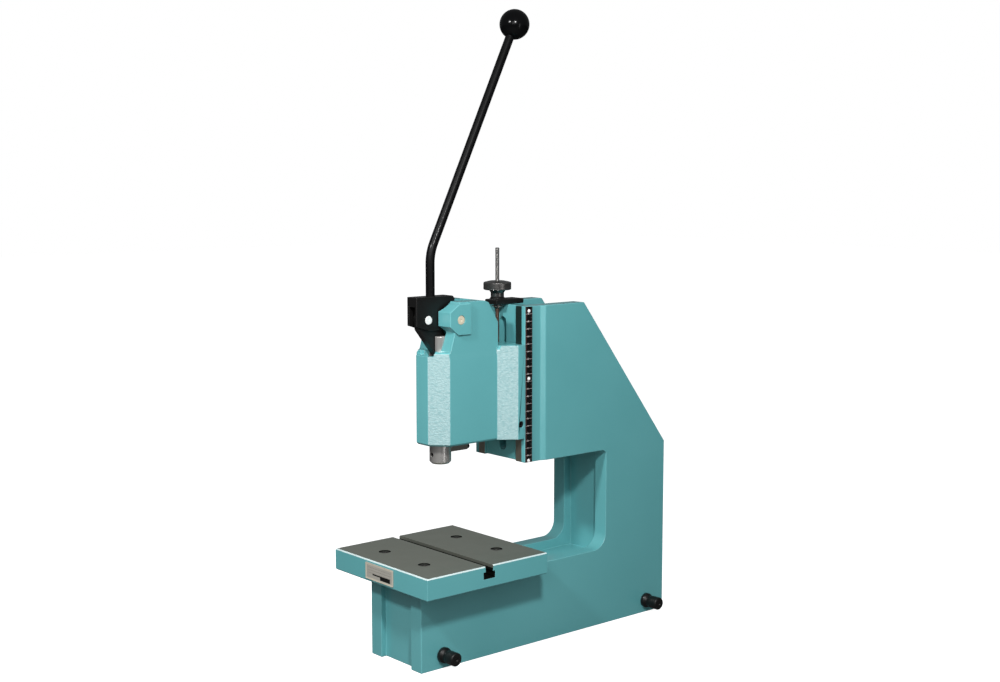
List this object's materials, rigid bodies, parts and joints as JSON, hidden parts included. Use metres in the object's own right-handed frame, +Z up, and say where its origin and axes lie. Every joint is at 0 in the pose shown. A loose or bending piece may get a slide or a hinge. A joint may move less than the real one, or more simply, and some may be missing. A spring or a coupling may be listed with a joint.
{
  "type": "toggle press",
  "caption": "Bench toggle press: C-frame with T-slot table, height-adjustable head on a guide, hand lever with ball knob driving a ram through a link",
  "frame": {"origin": "on the ram axis, on the plane that the base stands on", "axes": "+Z up along the ram axis, -Y towards the front of the press, +X towards the side that carries the depth scale"},
  "size_m": [0.2, 0.4721, 0.851],
  "materials": {
    "turquoise_paint": "semi-gloss machine enamel with machined bare steel on the guide faces",
    "table_finish": "enamelled edges, ground grey top",
    "nameplate_metal": "satin plate, blank",
    "scale_black": "black anodised strip with white graduations",
    "bright_steel": "ground",
    "plain_steel": "machined",
    "pivot_pin_steel": "hardened and ground, straw tint",
    "black_oxide_steel": "black oxide",
    "bearing_bronze": "bored bronze",
    "lever_gloss_black": "gloss black",
    "knob_plastic": "polished black phenolic"
  },
  "bodies": {
    "frame": {"frame_casting": "turquoise_paint", "side_stud_front_right": "black_oxide_steel", "side_stud_front_left": "black_oxide_steel", "side_stud_rear_right": "black_oxide_steel", "side_stud_rear_left": "black_oxide_steel", "table_plate": "table_finish", "table_screw_front_left": "black_oxide_steel", "table_screw_front_right": "black_oxide_steel", "table_screw_rear_left": "black_oxide_steel", "table_screw_rear_right": "black_oxide_steel", "nameplate_blank": "nameplate_metal", "depth_scale_strip": "scale_black", "scale_screw_1": "bright_steel", "scale_screw_2": "bright_steel", "scale_screw_3": "bright_steel", "spindle_bracket": "black_oxide_steel", "bracket_screw_left": "black_oxide_steel", "bracket_screw_right": "black_oxide_steel"},
    "head": {"head_casting": "turquoise_paint", "ram_bush_lower": "bearing_bronze", "ram_bush_upper": "bearing_bronze", "lever_pivot_pin": "pivot_pin_steel", "side_clamp_screw_right": "black_oxide_steel", "side_clamp_screw_left": "black_oxide_steel", "head_clamp_stud_1": "plain_steel", "head_clamp_stud_2": "plain_steel", "head_clamp_washer_1": "plain_steel", "head_clamp_washer_2": "plain_steel", "head_clamp_nut_1": "black_oxide_steel", "head_clamp_nut_2": "black_oxide_steel", "head_clamp_plate": "plain_steel", "lift_spindle": "plain_steel", "return_spring": "plain_steel"},
    "handwheel": {"lift_handwheel": "black_oxide_steel", "handwheel_retaining_ring": "plain_steel"},
    "ram": {"ram": "bright_steel", "ram_pin": "plain_steel", "tool_clamp_screw": "black_oxide_steel", "anti_rotation_arm": "plain_steel", "anti_rotation_arm_screw": "black_oxide_steel", "anti_rotation_rod": "bright_steel"},
    "lever": {"lever_hub": "black_oxide_steel", "link_pin": "bright_steel", "lever_rod": "lever_gloss_black", "ball_knob": "knob_plastic"},
    "link": {"toggle_link": "black_oxide_steel"}
  },
  "joints": [
    {"name": "head_height", "type": "slide", "parent": "frame", "child": "head", "axis": [0, 0, 1], "range_m": [-0.032, 0.042]},
    {"name": "handwheel_turn", "type": "hinge", "parent": "frame", "child": "handwheel", "pos_m": [0, 0.0985, 0.48], "axis": [0, 0, 1], "range_deg": [-15125, 11525]},
    {"name": "lever_swing", "type": "hinge", "parent": "head", "child": "lever", "pos_m": [0, 0.0075, 0.447], "axis": [1, 0, 0], "range_deg": [0, 75], "stiffness_Nm_per_rad": 1, "springref_deg": -51.57},
    {"name": "link_swing", "type": "hinge", "parent": "lever", "child": "link", "pos_m": [0, -0.0255, 0.447], "axis": [1, 0, 0], "range_deg": [-104.6, 0]},
    {"name": "ram_stroke", "type": "slide", "parent": "head", "child": "ram", "axis": [0, 0, 1], "range_m": [-0.0389, 0], "deforming": ["return_spring"]}
  ],
  "couplings": [
    {"joint": "handwheel_turn", "follows": "head_height", "rad_per_m": -6283.2},
    {"joint": "link_swing", "follows": "lever_swing", "ratio": -1.3929},
    {"joint": "ram_stroke", "follows": "lever_swing", "m_per_rad": -0.029684}
  ]
}
